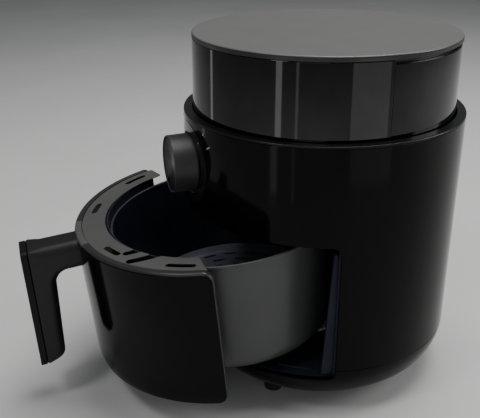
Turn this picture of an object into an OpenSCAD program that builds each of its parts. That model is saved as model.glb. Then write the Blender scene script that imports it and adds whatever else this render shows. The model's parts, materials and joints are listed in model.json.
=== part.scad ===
// Basket air fryer with a front drawer, about 3.5 litres, standing on a table.
// +Z is up and the front of the appliance faces -Y. The drawer rests partly pulled out.

/* [Housing] */
// Radius of the round body
body_r = 125; // [120:0.5:130]
// Height of the body, from its underside to the ledge below the top band
body_h = 248.5; // [244:0.5:254]
// Width of the rounding at the foot of the body
round_w = 50.5; // [46:0.5:54]
// Height of the rounding at the foot of the body
round_h = 47; // [44:0.5:52]
// Wall thickness of the moulded housing
wall = 2.8; // [2.4:0.1:3.2]
// Height of the seam between the base and the body
seam_z = 45.4; // [42:0.2:48]
// Height of the rubber feet
foot_h = 5; // [4:0.5:8]
// Distance of each foot from the middle
foot_place = 90; // [82:1:96]

/* [Top] */
// Radius of the glossy band at its lower edge
band_r = 116.6; // [114:0.2:118]
// Radius of the glossy band at its upper edge
band_top_r = 115.8; // [113:0.2:117]
// Height of the glossy band
band_h = 60.4; // [50:0.2:66]
// Half of the angle that the front band spans
band_half = 92; // [80:1:100]
// Height of the rim of the lid
lid_h = 4.6; // [3:0.2:7]

/* [Drawer opening] */
// How far in front of the middle the sides of the opening stand
opening_y = 33.2; // [32:0.1:36]
// Height of the opening's lower edge
opening_z0 = 35.2; // [34:0.2:36]
// Height of the opening's upper edge
opening_z1 = 163.6; // [163.6:0.2:165]
// Corner radius of the opening
opening_corner = 8; // [5:0.5:12]

/* [Drawer] */
// How far the drawer is pulled out at rest
drawer_pull = 93.5; // [60:0.5:120]
// How far the pulled drawer droops
droop = 5.1; // [0:0.1:7]
// Outer radius of the drawer's rim
rim_r = 118.3; // [117:0.1:118.4]
// Inner radius of the drawer's rim
rim_in_r = 97.7; // [94:0.1:100]
// Height of the drawer's rim when closed
rim_z = 161.2; // [160:0.1:161.4]
// Radius of the pan at its top
pan_r = 101.5; // [98:0.5:103]
// Radius of the pan near its bottom
pan_low_r = 95.5; // [92:0.5:98]
// How far the pan's middle lies behind the middle of the body
pan_back = 8; // [5:0.5:8.5]
// Height of the pan's bottom when closed
pan_z = 40; // [40:0.1:42]
// Height of the pan's rim when closed
pan_top = 152.6; // [148:0.2:154]
// Height of the crisper plate
plate_z = 65; // [60:0.5:68]
// Radius of the crisper plate
plate_r = 92.6; // [88:0.2:93.4]

/* [Handle] */
// Width of the handle
handle_w = 30; // [24:0.5:34]
// Depth of the arm that carries the grip
arm_h = 26; // [20:0.5:28]
// Height of the handle's lower end
handle_z = 47; // [44:0.5:60]

/* [Knob] */
// Radius of the knob
knob_r = 25.5; // [24:0.5:28]
// Height of the knob's axis
knob_z = 206.5; // [203:0.5:214]
// How far the knob's face stands in front of the middle of the body
knob_front = 143.6; // [138:0.2:146]
// Radius of the dial plate around the knob
dial_r = 36; // [32:0.5:42]

/* [Hidden] */
$fn = 96;

// The body's axis stands behind the origin, which is under the middle of the footprint
axis_y = 73.8;
// Point that the drawer tips about as it is pulled, at the lip of the opening
pivot = [0, -122, 35.6];

// Round bottom of the body, measured on its half section
round_x = body_r - round_w;

// Cavity behind the opening
liner_r = 120.3;
liner_t = 1;
ceiling_z = 172;
dome_r = 84;
dome_z = 226;
passage_w = 229.4;
passage_z = 164;
bezel_r = body_r - wall - 1.3;
bezel_half = 80;
fascia_r = 117.9;
fascia_half = 74;
mouth_w = 224.8;
rib_h = 1.5;
mouth_z = 154.6;
mouth_corner = 14;
floor_z = 37;
floor_t = 1.6;

// Air moving gear above the cavity
chassis_z = 238;
sheet = 1.2;
shaft_r = 4;
stem_r = 3;
running_gap = 0.08;
guard_z = 176;
coil_z = 186;
coil_t = 6.4;
lead_y = 73;
clip_r = 75;
clip_t = 1.2;
fan_z = 200;
fan_r = 68;
cooler_z = 229.5;
cooler_r = 40;
motor_z = 247;
motor_r = 31;
motor_h = 42;
bracket_z = chassis_z + sheet;

// Timer and dial, along the front of the body
timer_y = -117;
timer_w = 46;
timer_d = 27;
cup_r = knob_r + 1.3;
cup_y = -119.3;
cup_t = 1.5;
dial_t = 0.7;

// Air outlet at the back
outlet_w = 92;
outlet_z0 = 178;
outlet_z1 = 226;
gland_z = 24;
base_screw_r = 70;

// Drawer, as it is when closed
front_y = 35.9;
front_z0 = opening_z0 + 1;
front_z1 = 160.2;
frame_half = 69;
frame_r = 118.7;
cap_z = 162;
rim_half = 73.5;
rim_t = 1;
rim_slot_r = 110;
rim_slot_w = 5.2;
bracket_half = 11.3;
handle_y = -120;
grip_top_y = -167.1;
grip_low_y = -172.4;
grip_in_top_y = -147.8;
grip_in_low_y = -155.2;
handle_top = 160.6;
trim_t = 5.6;
runner_x = 55;
screw_z = 149;
pan_round = 18;

// ---------- places ----------

// Frame of the housing: middle of its axis, at the height of its underside
module in_housing() {
    translate([0, axis_y, foot_h]) children();
}

// Turn about the lip of the opening
module tipped() {
    translate(pivot) rotate([droop, 0, 0]) translate(-pivot) children();
}

// Frame of the runners that carry the drawer
module in_runners() {
    in_housing() tipped() children();
}

// Frame of the drawer: drawn closed, then pulled out along the runners
module in_drawer() {
    in_runners() translate([0, -drawer_pull, 0]) children();
}

// ---------- shared shapes ----------

// Points along an arc of an ellipse
function arc(centre, rx, ry, from, to, steps = 12) = [
    for (i = [0 : steps])
        let (a = from + (to - from) * i / steps)
        [centre[0] + rx * cos(a), centre[1] + ry * sin(a)]
];

// Ring about the axis, or a sector of one: angles run from the front towards +X
module sector(r0, r1, z0, z1, from = 0, to = 360) {
    turned(from, to) translate([r0, z0]) square([r1 - r0, z1 - z0]);
}

// Half section swept about the axis between two angles from the front
module turned(from = 0, to = 360) {
    rotate([0, 0, from - 90]) rotate_extrude(angle = to - from) children();
}

// Half section of the solid body, set in from its surface
module body_section(inset) {
    polygon(concat(
        [[0, inset]],
        arc([round_x, round_h], round_w - inset, round_h - inset, -90, 0, 18),
        [[body_r - inset, body_h + 1], [0, body_h + 1]]
    ));
}

// Half section of the wall of the body between two heights
module wall_section(z0, z1) {
    intersection() {
        difference() {
            body_section(0);
            body_section(wall);
        }
        translate([0, z0]) square([body_r + 1, z1 - z0]);
    }
}

// Space in front of a plane across the body, with round corners where it meets that plane
module doorway(front, z0, z1, corner) {
    rotate([90, 0, 90]) linear_extrude(300, center = true) polygon(concat(
        [[-160, z1], [-160, z0]],
        arc([-front - corner, z0 + corner], corner, corner, -90, 0, 10),
        arc([-front - corner, z1 - corner], corner, corner, 0, 90, 10)
    ));
}

// Block with round corners that reaches through the back of the body
module back_window(width, z0, z1, corner) {
    x = width / 2 - corner;
    rotate([90, 0, 0]) translate([0, 0, -140]) linear_extrude(50) polygon(concat(
        arc([-x, z0 + corner], corner, corner, 180, 270, 6),
        arc([x, z0 + corner], corner, corner, 270, 360, 6),
        arc([x, z1 - corner], corner, corner, 0, 90, 6),
        arc([-x, z1 - corner], corner, corner, 90, 180, 6)
    ));
}

// Cylinder that lies along Y, from y0 to y1
module rod_y(r, y0, y1, x = 0, z = 0) {
    translate([x, y1, z]) rotate([90, 0, 0]) cylinder(r = r, h = y1 - y0);
}

// Copies at equal turns about the axis
module around(count, start = 0) {
    for (i = [0 : count - 1]) rotate([0, 0, start + i * 360 / count]) children();
}

// Screw with a pan head, pointing down from its head at z = 0
module screw(r, length, head_r, head_h) {
    cylinder(r = head_r, h = head_h, $fn = 32);
    translate([0, 0, -length]) cylinder(r = r, h = length + 0.2, $fn = 32);
}

// ---------- housing ----------

module outer_shell() color("#101011") in_housing() difference() {
    turned() wall_section(seam_z + 0.2, body_h - 2);
    doorway(opening_y, opening_z0, opening_z1, opening_corner);
    rod_y(cup_r + 1.8, -body_r - 5, -body_r + 20, 0, knob_z);
    back_window(outlet_w, outlet_z0, outlet_z1, 5);
}

module base_tub() color("#121213") in_housing() difference() {
    union() {
        turned() wall_section(0, seam_z);
        around(4, 45) translate([0, -base_screw_r, wall - 0.5]) cylinder(r = 6, h = 24.5, $fn = 32);
    }
    doorway(opening_y, opening_z0, opening_z1, opening_corner);
    around(4, 45) translate([0, -base_screw_r, -1]) cylinder(r = 1.6, h = 22, $fn = 32);
    around(4, 45) translate([0, -base_screw_r, -1]) cylinder(r = 4.4, h = 2.4, $fn = 32);
    for (x = [-36 : 9 : 36]) translate([x - 1.75, -22, -1]) cube([3.5, 44, wall + 2]);
    rod_y(7, 100, 130, 0, gland_z);
}

module rubber_feet() color("#1a1a1a") in_housing() difference() {
    around(4, 42) translate([0, -foot_place, -foot_h]) cylinder(r1 = 8, r2 = 9.5, h = foot_h + 7, $fn = 48);
    turned() body_section(0);
}

module base_screws() color("#8c8f92") in_housing()
    around(4, 45) translate([0, -base_screw_r, 1.35]) rotate([180, 0, 0]) screw(1.55, 16, 3.4, 1.2);

module shoulder_ring() color("#151516") in_housing() turned() polygon([
    [body_r, body_h - 1.8],
    [body_r, body_h - 1.2],
    [body_r - 1.2, body_h],
    [body_r - 3.4, body_h + 0.2],
    [body_r - 4, body_h - 0.6],
    [band_r + 0.4, body_h - 0.6],
    [band_r + 0.4, body_h - 4],
    [body_r - wall - 0.2, body_h - 4],
    [body_r - wall - 0.2, body_h - 1.8]
]);

// Half section of the band, set in from its surface
module band_section(inset, drop) {
    polygon([
        [band_r - inset, body_h + 0.3],
        [band_top_r - inset, body_h + 0.3 + band_h - drop],
        [band_top_r - inset - 2.4, body_h + 0.3 + band_h - drop],
        [band_r - inset - 2.4, body_h + 0.3]
    ]);
}

module band_front() color("#2b2b2d") in_housing()
    turned(-band_half, band_half) band_section(0, 0);

module band_rear() color("#1c1c1d") in_housing() difference() {
    turned(band_half + 0.3, 360 - band_half - 0.3) band_section(0.8, 3);
    for (a = [165 : 5 : 195]) rotate([0, 0, a])
        translate([-1.5, -band_r - 2, body_h + 14]) cube([3, 8, 28]);
}

// Half section of the lid, from the upper edge of the band
module lid_section() {
    polygon(concat(
        [[0, lid_h - 2.2], [band_top_r - 7, lid_h - 2.2], [band_top_r - 7, -8], [band_top_r - 4, -8]],
        [[band_top_r - 4, 0.2], [band_top_r + 0.1, 0.2], [band_top_r + 0.1, 1.2]],
        arc([band_top_r - 3.2, 1.2], 3.3, lid_h - 1.4, 0, 84, 6),
        [[band_top_r - 16, lid_h + 0.1], [0, lid_h + 0.4]]
    ));
}

module top_lid() color("#6f706e") in_housing()
    translate([0, 0, body_h + 0.3 + band_h]) turned() lid_section();

module chassis_plate() color("#9fa1a3") in_housing() difference() {
    sector(cooler_r + 2, body_r - wall - 0.4, chassis_z, chassis_z + sheet);
    around(12) translate([0, -100, chassis_z - 1]) cylinder(r = 7, h = 4, $fn = 32);
    translate([-timer_w / 2 - 2, -body_r, chassis_z - 1]) cube([timer_w + 4, 16, 4]);
}

// ---------- cooking cavity ----------

// Dark frame behind the opening, with a mouth that the pan and its rim pass through
module cavity_bezel() color("#25262a") in_housing() difference() {
    sector(112, bezel_r, floor_z + 0.2, ceiling_z - 0.2, -bezel_half, bezel_half);
    sector(fascia_r, 130, floor_z - 1, ceiling_z - 4, -fascia_half, fascia_half);
    translate([-passage_w / 2, -140, mouth_z]) cube([passage_w, 130, passage_z - mouth_z]);
    mouth();
}

// Opening of the frame that the pan passes through, with large corners at the floor
module mouth() {
    x = mouth_w / 2 - mouth_corner;
    z = floor_z + mouth_corner;
    translate([-mouth_w / 2, -140, z]) cube([mouth_w, 130, mouth_z - z + 1]);
    translate([-x, -140, floor_z - 2]) cube([2 * x, 130, 60]);
    for (side = [-x, x]) rod_y(mouth_corner - 0.03, -140, -10, side, z);
}

// Round wall of the cooking cavity, open at the front
module cavity_wall() color("#6d6e70") in_housing()
    sector(
        liner_r - liner_t, liner_r, floor_z + 0.2, ceiling_z - 0.3,
        bezel_half + 0.4, 360 - bezel_half - 0.4
    );

// Ceiling of the cavity, drawn up into a dome over the element and the fan
module heater_dome() color("#7b7c7e") in_housing() difference() {
    turned() polygon([
        [liner_r - 0.2, ceiling_z],
        [liner_r - 0.2, ceiling_z + liner_t],
        [dome_r + liner_t, ceiling_z + liner_t],
        [dome_r + liner_t, dome_z + liner_t],
        [shaft_r + 3, dome_z + liner_t],
        [shaft_r + 3, dome_z],
        [dome_r, dome_z],
        [dome_r, ceiling_z]
    ]);
    translate([-30, 78, outlet_z0 + 6]) cube([60, 12, outlet_z1 - outlet_z0 - 12]);
    for (x = [-5, 5]) translate([x, lead_y, dome_z - 2]) cylinder(r = coil_t / 2 + 0.4, h = 5, $fn = 32);
}

module floor_plate() color("#2c2d30") in_housing() {
    sector(0, 118.2, floor_z - floor_t, floor_z);
    for (side = [-1, 1]) {
        sector(109, 111, floor_z - 0.5, floor_z + rib_h, side * 57.5 - 8, side * 57.5 + 8);
        translate([side * 92 - 11.5, -37.5, floor_z - 0.5]) cube([23, 1.8, rib_h + 0.5]);
    }
}

module element_guard() color("#b4b6b8") in_housing() {
    for (r = [12 : 11 : 78]) sector(r, r + 2, guard_z, guard_z + 1.6);
    around(3) translate([-80, -1.2, guard_z + 0.2]) cube([160, 2.4, 1.2]);
    sector(80, dome_r - 0.4, guard_z, guard_z + 1.6);
}

module heating_element() color("#7b6f66") in_housing() {
    for (r = [48, 66]) turned() translate([r, coil_z]) circle(r = coil_t / 2, $fn = 32);
    for (x = [-5, 5]) {
        rod_y(coil_t / 2 - 0.5, 47, lead_y, x, coil_z);
        translate([x, lead_y, coil_z - 2]) cylinder(r = coil_t / 2, h = 52, $fn = 32);
    }
}

// Hooks that hang from the top of the dome, outside the fan, and carry the rings of the element
module element_clips() color("#a9abad") in_housing() around(3, 30) {
    low_z = coil_z - coil_t / 2 - clip_t;
    translate([-4, -clip_r, low_z]) cube([8, clip_t, dome_z - low_z]);
    translate([-4, -clip_r, low_z]) cube([8, 32, clip_t]);
    translate([-4, -clip_r - 6, dome_z - clip_t]) cube([8, 6.1, clip_t]);
}

// ---------- fan and motor ----------

module fan_motor() color("#77797c") in_housing() translate([0, 0, motor_z]) difference() {
    union() {
        cylinder(r = motor_r, h = motor_h);
        translate([-40, -9, 0]) cube([80, 18, 2]);
        cylinder(r = 12, h = motor_h + 4);
    }
    translate([0, 0, -1]) cylinder(r = shaft_r + running_gap, h = motor_h + 6);
    for (x = [-36, 36]) translate([x, 0, -1]) cylinder(r = 2.1, h = 4, $fn = 32);
}

module motor_bracket() color("#9a9c9f") in_housing() difference() {
    union() {
        translate([-48, -14, motor_z - 2]) cube([96, 28, 2]);
        for (x = [-48, 46]) translate([x, -14, bracket_z]) cube([2, 28, motor_z - bracket_z]);
        for (x = [-60, 46]) translate([x, -14, bracket_z]) cube([14, 28, 2]);
    }
    translate([0, 0, chassis_z]) cylinder(r = 8, h = 20);
    for (x = [-36, 36]) translate([x, 0, bracket_z]) cylinder(r = 2.1, h = 20, $fn = 32);
}

module motor_screws() color("#b9bbbd") in_housing()
    for (x = [-36, 36]) translate([x, 0, motor_z + 2]) screw(1.9, 7, 3.6, 2);

module motor_shaft() color("#c3c5c7") in_housing()
    translate([0, 0, fan_z - 8]) cylinder(r = shaft_r, h = motor_z + motor_h - fan_z + 6);

// Fan wheel with flat blades that stand on a disc
module wheel(r, hub_r, z, h, blades, disc_t = 1.2) {
    difference() {
        union() {
            translate([0, 0, z]) cylinder(r = hub_r, h = h);
            translate([0, 0, z]) cylinder(r = r, h = disc_t);
            around(blades) translate([hub_r - 1, -0.6, z]) rotate([0, 0, 14]) cube([r - hub_r - 3, 1.2, h]);
        }
        translate([0, 0, z - 1]) cylinder(r = shaft_r, h = h + 2);
    }
}

module hot_fan() color("#a7a9ab") in_housing() wheel(fan_r, 9, fan_z, 18, 10);

module cooling_fan() color("#3a3b3d") in_housing() wheel(cooler_r, 8, cooler_z, 6.5, 12);

module fan_nut() color("#d0d2d3") in_housing() difference() {
    translate([0, 0, fan_z - 6]) cylinder(r = 7, h = 6, $fn = 6);
    translate([0, 0, fan_z - 7]) cylinder(r = shaft_r, h = 8);
}

// ---------- electrics ----------

module thermostat() color("#d8d4c8") in_housing() translate([62, 0, dome_z + liner_t]) {
    cylinder(r = 9, h = 6, $fn = 48);
    for (y = [-4, 4]) translate([-3, y - 0.4, 5.8]) cube([6, 0.8, 4]);
}

module thermal_fuse() color("#e6e2d6") in_housing()
    translate([-62, -9, dome_z + liner_t + 3.2]) rotate([-90, 0, 0]) cylinder(r = 3.2, h = 18, $fn = 32);

module terminal_block() color("#e9e7e0") in_housing() translate([-24, 62, chassis_z + sheet]) difference() {
    cube([48, 22, 16]);
    for (x = [6 : 12 : 42]) translate([x, 11, 6]) cylinder(r = 3, h = 12, $fn = 32);
}

module timer_module() color("#cfcabd") in_housing() translate([0, timer_y, knob_z]) difference() {
    union() {
        translate([-timer_w / 2, 0, -timer_w / 2]) cube([timer_w, timer_d, timer_w]);
        rod_y(6, cup_y - timer_y + 0.2, 1);
    }
    rod_y(stem_r + running_gap, cup_y - timer_y - 5, timer_d - 6);
    for (x = [-15, 15]) rod_y(1.55, -2, 8, x);
}

module timer_screws() color("#b9bbbd") in_housing()
    for (x = [-15, 15]) translate([x, cup_y - 1.5, knob_z]) rotate([90, 0, 0]) screw(1.5, 8, 2.6, 1);

module dial_plate() color("#1b1b1c") in_housing() difference() {
    union() {
        intersection() {
            rod_y(dial_r, -body_r - 3, -90, 0, knob_z);
            sector(body_r + 0.05, body_r + dial_t, knob_z - 50, knob_z + 50, -30, 30);
        }
        intersection() {
            rod_y(cup_r + cup_t, -body_r - 3, cup_y, 0, knob_z);
            cylinder(r = body_r + dial_t, h = body_h);
        }
    }
    rod_y(cup_r, -body_r - 5, cup_y - cup_t, 0, knob_z);
    rod_y(6.3, -130, -110, 0, knob_z);
    for (x = [-15, 15]) rod_y(1.55, -130, -110, x, knob_z);
}

module exhaust_duct() color("#88898c") in_housing() difference() {
    translate([-34, 80, outlet_z0 + 1]) cube([68, 45, outlet_z1 - outlet_z0 - 2]);
    translate([-32.6, 70, outlet_z0 + 2.4]) cube([65.2, 60, outlet_z1 - outlet_z0 - 4.8]);
    translate([0, 0, outlet_z0 - 5]) cylinder(r = dome_r + liner_t + 0.1, h = 60);
    sector(bezel_r - 1.4, 140, outlet_z0 - 5, outlet_z1 + 5);
}

module exhaust_grille() color("#17171a") in_housing() difference() {
    intersection() {
        sector(bezel_r - 1, body_r - 0.5, outlet_z0 - 5, outlet_z1 + 5, 150, 210);
        back_window(outlet_w - 0.8, outlet_z0 + 0.4, outlet_z1 - 0.4, 4.6);
    }
    for (z = [outlet_z0 + 5 : 6 : outlet_z1 - 7])
        translate([-outlet_w / 2 + 6, 100, z]) cube([outlet_w - 12, 40, 3]);
}

module cord_gland() color("#141415") in_housing() translate([0, 0, gland_z]) difference() {
    union() {
        rod_y(6.8, 103, 126);
        rod_y(9.5, 102, 106.5);
    }
    rod_y(3.6, 100, 130);
}

module interlock_switch() color("#2f4f7a") in_housing() rotate([0, 0, -40])
    translate([-12, -110, ceiling_z + liner_t]) cube([24, 10, 9]);

// ---------- knob ----------

module knob_shell() color("#232324") in_housing() translate([0, 0, knob_z]) difference() {
    rotate([90, 0, 0]) rotate_extrude() polygon([
        [0, -cup_y + cup_t + 1.6],
        [knob_r - 1, -cup_y + cup_t + 1.6],
        [knob_r, -cup_y + cup_t + 2.6],
        [knob_r - 0.6, knob_front - 1.2],
        [knob_r - 1.8, knob_front],
        [knob_r - 3, knob_front],
        [knob_r - 3, knob_front - 2.4],
        [0, knob_front - 2.4]
    ]);
    rod_y(stem_r, -knob_front + 7, -110);
}

module knob_face() color("#8a8b8d") in_housing() translate([0, 0, knob_z]) rotate([90, 0, 0])
    rotate_extrude() polygon([
        [0, knob_front - 2.4],
        [knob_r - 3.2, knob_front - 2.4],
        [knob_r - 3.2, knob_front - 0.6],
        [knob_r - 5, knob_front - 0.6],
        [0, knob_front - 1.4]
    ]);

module knob_shaft() color("#c9cbcc") in_housing()
    rod_y(stem_r, -knob_front + 7, timer_y + 14, 0, knob_z);

// ---------- drawer ----------

// Nylon strip that carries one side of the tub
module runner(x) {
    color("#d9d9d4") in_runners() translate([x - 5, -104, floor_z + 0.3]) cube([10, 142, 2.4]);
}

module runner_left() runner(-runner_x);

module runner_right() runner(runner_x);

module drawer_front() color("#101011") in_drawer() difference() {
    intersection() {
        turned(-90, 90) wall_section(front_z0 - 5, front_z1 + 5);
        doorway(front_y, front_z0, front_z1, opening_corner);
    }
    for (x = [-8, 8]) rod_y(1.6, -130, -110, x, screw_z);
}

module front_frame() color("#333332") in_drawer() difference() {
    turned(-frame_half, frame_half) polygon([
        [frame_r, floor_z + 6],
        [body_r - wall - 0.3, floor_z + 6],
        [body_r - wall - 0.3, front_z1 + 0.1],
        [body_r - 0.5, front_z1 + 0.1],
        [body_r - 0.5, front_z1 + 0.6],
        [body_r - 3, cap_z],
        [frame_r, cap_z]
    ]);
    sector(frame_r - 5, 130, handle_top - arm_h, 170, -bracket_half, bracket_half);
}

// Half section of the pan, set in from its outside
module pan_section(inset) {
    r = pan_round - inset;
    polygon(concat(
        [[0, pan_z + inset]],
        arc([pan_low_r - pan_round, pan_z + pan_round], r, r, -90, -4, 8),
        [[pan_r - inset, pan_top + inset * 2], [0, pan_top + inset * 2]]
    ));
}

module frying_pan() color("#8b8c8b") in_drawer() translate([0, pan_back, 0]) turned() {
    difference() {
        pan_section(0);
        pan_section(1.4);
    }
    translate([pan_r, pan_top - 1.2]) circle(r = 1.2, $fn = 24);
}

// Black collar that joins the rim to the pan, open behind
module pan_collar() color("#141416") in_drawer() translate([0, pan_back, 0])
    sector(pan_r + 1.6, pan_r + 3, pan_top - 24, rim_z - rim_t, -64, 64);

module drawer_rim() color("#7a7b79") in_drawer() difference() {
    turned(-rim_half, rim_half) polygon([
        [rim_in_r, rim_z - rim_t],
        [rim_r, rim_z - rim_t],
        [rim_r, rim_z - 0.4],
        [rim_r - 0.4, rim_z],
        [rim_in_r + 0.6, rim_z],
        [rim_in_r, rim_z - 0.6]
    ]);
    for (side = [-1, 1]) {
        for (place = [[60.5, 6.5], [24.5, 5.5]]) sector(
            rim_slot_r - rim_slot_w / 2, rim_slot_r + rim_slot_w / 2, rim_z - 3, rim_z + 1,
            side * place[0] - place[1], side * place[0] + place[1]
        );
    }
    for (notch = [[55.5, 6.5], [70, 7]])
        translate([notch[0] - notch[1] / 2, -92.5, rim_z - 3]) cube([notch[1], 40, 5]);
}

module rim_magnet() color("#b0b2b4") in_drawer()
    rotate([0, 0, -40]) translate([0, -113, rim_z - rim_t - 2.4]) cylinder(r = 3, h = 2.4, $fn = 32);

// ---------- crisper plate ----------

module crisper_plate() color("#202326") in_drawer() translate([0, pan_back, 0]) {
    translate([0, 0, plate_z]) linear_extrude(1.4) difference() {
        circle(r = plate_r - 6);
        circle(r = 9);
        for (row = [[29, 8, -65], [40.5, 11, -75], [52, 14, -78], [63.5, 17, -80], [75, 22, -82]])
            for (i = [0 : row[1] - 1])
                rotate(i * 360 / row[1] + row[2])
                    translate([row[0], 0])
                        square([3.4, 13], center = true);
    }
    turned() polygon([
        [plate_r - 6.4, plate_z],
        [plate_r - 5, plate_z],
        [plate_r - 1.4, plate_z + 2],
        [plate_r, plate_z + 2],
        [plate_r, plate_z + 3.4],
        [plate_r - 1.8, plate_z + 3.4],
        [plate_r - 6.4, plate_z + 1.4]
    ]);
}

module plate_bumpers() color("#3c3d3f") in_drawer() translate([0, pan_back, 0])
    around(4, 45) translate([0, -69.3, pan_z + 1.4]) cylinder(r = 3, h = plate_z - pan_z - 1.4, $fn = 32);

// ---------- handle ----------

// Piece of the frame that the handle grows out of
module handle_bracket() color("#565756") in_drawer() difference() {
    turned(-bracket_half + 0.15, bracket_half - 0.15) polygon([
        [frame_r, handle_top - arm_h + 0.2],
        [body_r - wall - 0.3, handle_top - arm_h + 0.2],
        [body_r - wall - 0.3, front_z1 + 0.1],
        [body_r + 0.6, front_z1 + 0.1],
        [body_r + 0.6, front_z1 + 0.8],
        [body_r - 2.6, cap_z + 0.2],
        [frame_r, cap_z + 0.2]
    ]);
    for (x = [-8, 8]) rod_y(1.6, -130, -110, x, screw_z);
}

// Side outline of the handle: the arm leaves the front and the grip hangs from it
module handle_outline() {
    polygon(concat(
        [[handle_y, handle_top], [handle_y, handle_top - arm_h]],
        arc([grip_in_top_y + 12, handle_top - arm_h - 12], 12, 12, 90, 175, 8),
        arc([grip_in_low_y - 9, handle_z + 10.8], 9.4, 9.4, 5, -80, 6),
        [[grip_low_y, handle_z - 0.5], [grip_top_y, handle_top]]
    ));
}

module handle_grip() color("#3a3a3b") in_drawer() difference() {
    rotate([90, 0, 90]) translate([0, 0, -handle_w / 2]) linear_extrude(handle_w) handle_outline();
    cylinder(r = body_r + 0.3, h = front_z1);
    cylinder(r = body_r + 0.8, h = body_h);
    for (x = [-8, 8]) rod_y(1.6, -150, -110, x, screw_z);
}

module handle_trim() color("#2c2c2c") in_drawer()
    rotate([90, 0, 90]) translate([0, 0, -handle_w / 2]) linear_extrude(handle_w) polygon([
        [grip_top_y - 0.05, handle_top],
        [grip_low_y - 0.05, handle_z - 0.5],
        [grip_low_y - trim_t + 1, handle_z - 1],
        [grip_low_y - trim_t, handle_z],
        [grip_top_y - trim_t, handle_top - 1],
        [grip_top_y - trim_t + 1, handle_top]
    ]);

module handle_screws() color("#b9bbbd") in_drawer()
    for (x = [-8, 8]) translate([x, -118.1, screw_z]) rotate([-90, 0, 0]) screw(1.55, 22, 3.2, 1.6);

// ---------- assembly ----------

outer_shell();
base_tub();
rubber_feet();
base_screws();
shoulder_ring();
band_front();
band_rear();
top_lid();
chassis_plate();
cavity_bezel();
cavity_wall();
heater_dome();
floor_plate();
element_guard();
heating_element();
element_clips();
fan_motor();
motor_bracket();
motor_screws();
motor_shaft();
hot_fan();
cooling_fan();
fan_nut();
thermostat();
thermal_fuse();
terminal_block();
timer_module();
timer_screws();
dial_plate();
knob_shell();
knob_face();
knob_shaft();
exhaust_duct();
exhaust_grille();
cord_gland();
interlock_switch();
runner_left();
runner_right();
drawer_front();
front_frame();
frying_pan();
pan_collar();
drawer_rim();
rim_magnet();
crisper_plate();
plate_bumpers();
handle_bracket();
handle_grip();
handle_trim();
handle_screws();
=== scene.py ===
# Looks of a basket air fryer with its drawer pulled out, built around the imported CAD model.
import json
import math

import bpy
import numpy as np
from mathutils import Matrix, Vector
from mathutils.geometry import delaunay_2d_cdt


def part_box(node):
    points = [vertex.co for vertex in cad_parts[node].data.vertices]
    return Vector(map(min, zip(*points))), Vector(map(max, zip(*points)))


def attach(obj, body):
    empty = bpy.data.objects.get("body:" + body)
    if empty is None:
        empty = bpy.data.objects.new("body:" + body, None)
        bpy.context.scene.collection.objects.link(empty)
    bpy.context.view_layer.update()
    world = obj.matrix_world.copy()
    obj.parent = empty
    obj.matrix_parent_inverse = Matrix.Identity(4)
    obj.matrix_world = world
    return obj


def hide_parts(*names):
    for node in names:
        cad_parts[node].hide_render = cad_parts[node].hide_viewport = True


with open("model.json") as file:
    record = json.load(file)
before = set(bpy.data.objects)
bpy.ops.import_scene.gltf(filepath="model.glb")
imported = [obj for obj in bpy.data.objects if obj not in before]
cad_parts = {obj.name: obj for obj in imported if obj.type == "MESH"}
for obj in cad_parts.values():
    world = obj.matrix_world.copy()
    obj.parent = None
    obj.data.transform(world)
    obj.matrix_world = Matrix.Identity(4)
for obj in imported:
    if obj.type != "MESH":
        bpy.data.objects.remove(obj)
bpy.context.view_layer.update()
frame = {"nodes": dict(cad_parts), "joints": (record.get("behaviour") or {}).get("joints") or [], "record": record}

# ---------- frames and driving sizes, in millimetres unless the name says otherwise ----------

MM = 0.001
RING_LOW, RING_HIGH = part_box("shoulder_ring")
AXIS_Y = (RING_LOW.y + RING_HIGH.y) / 2
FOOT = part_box("base_tub")[0].z
BODY_R = (RING_HIGH.x - RING_LOW.x) / 2 / MM
BODY_H = (RING_HIGH.z - FOOT) / MM - 0.2
BAND_Z = BODY_H + 0.3
BAND_H = (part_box("band_front")[1].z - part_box("band_front")[0].z) / MM
BAND_R = (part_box("band_front")[1].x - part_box("band_front")[0].x) / 2 / MM
BAND_TOP_R = BAND_R - 0.8
LID_H = (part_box("top_lid")[1].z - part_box("band_front")[1].z) / MM - 0.4

# The body's wall and foot, its opening, the drawer's panel, the flat bottom, the knob and its dial,
# the floor of the cavity, half the band's front section, and the side of the faces of large pieces
WALL = 2.8
ROUND_W = 50.5
ROUND_H = 47
SEAM_Z = 45.4
OPENING_Y = 33.2
OPENING_Z0 = 35.2
OPENING_Z1 = 163.6
OPENING_CORNER = 8
PANEL_Y = 35.9
FLAT_R = 84
KNOB_Z = 206.5
DIAL_HOLE_R = 30.1
DIAL_R = 36
FLOOR_Z = 37
BAND_HALF_DEG = 92
CELL = 4.4

JOINTS = {joint["name"]: joint for joint in frame["joints"]}
SLIDE = Vector(JOINTS["drawer_slide"]["axis"])
PULL = -JOINTS["drawer_slide"]["range_m"][0]
LIP = Vector(JOINTS["runner_tilt"]["pos_m"])
DROOP = math.atan2(-SLIDE.z, -SLIDE.y)

HOUSING = Matrix.Translation((0, AXIS_Y, FOOT)) @ Matrix.Scale(MM, 4)
RUNNERS = Matrix.Translation(LIP) @ Matrix.Rotation(DROOP, 4, "X") @ Matrix.Translation(-LIP) @ HOUSING
DRAWER = Matrix.Translation(SLIDE * PULL) @ RUNNERS
TO_FRONT = Matrix.Rotation(math.radians(90), 4, "X")


# ---------- outlines: rows of x, y and the outward normal, counter-clockwise ----------

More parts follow.
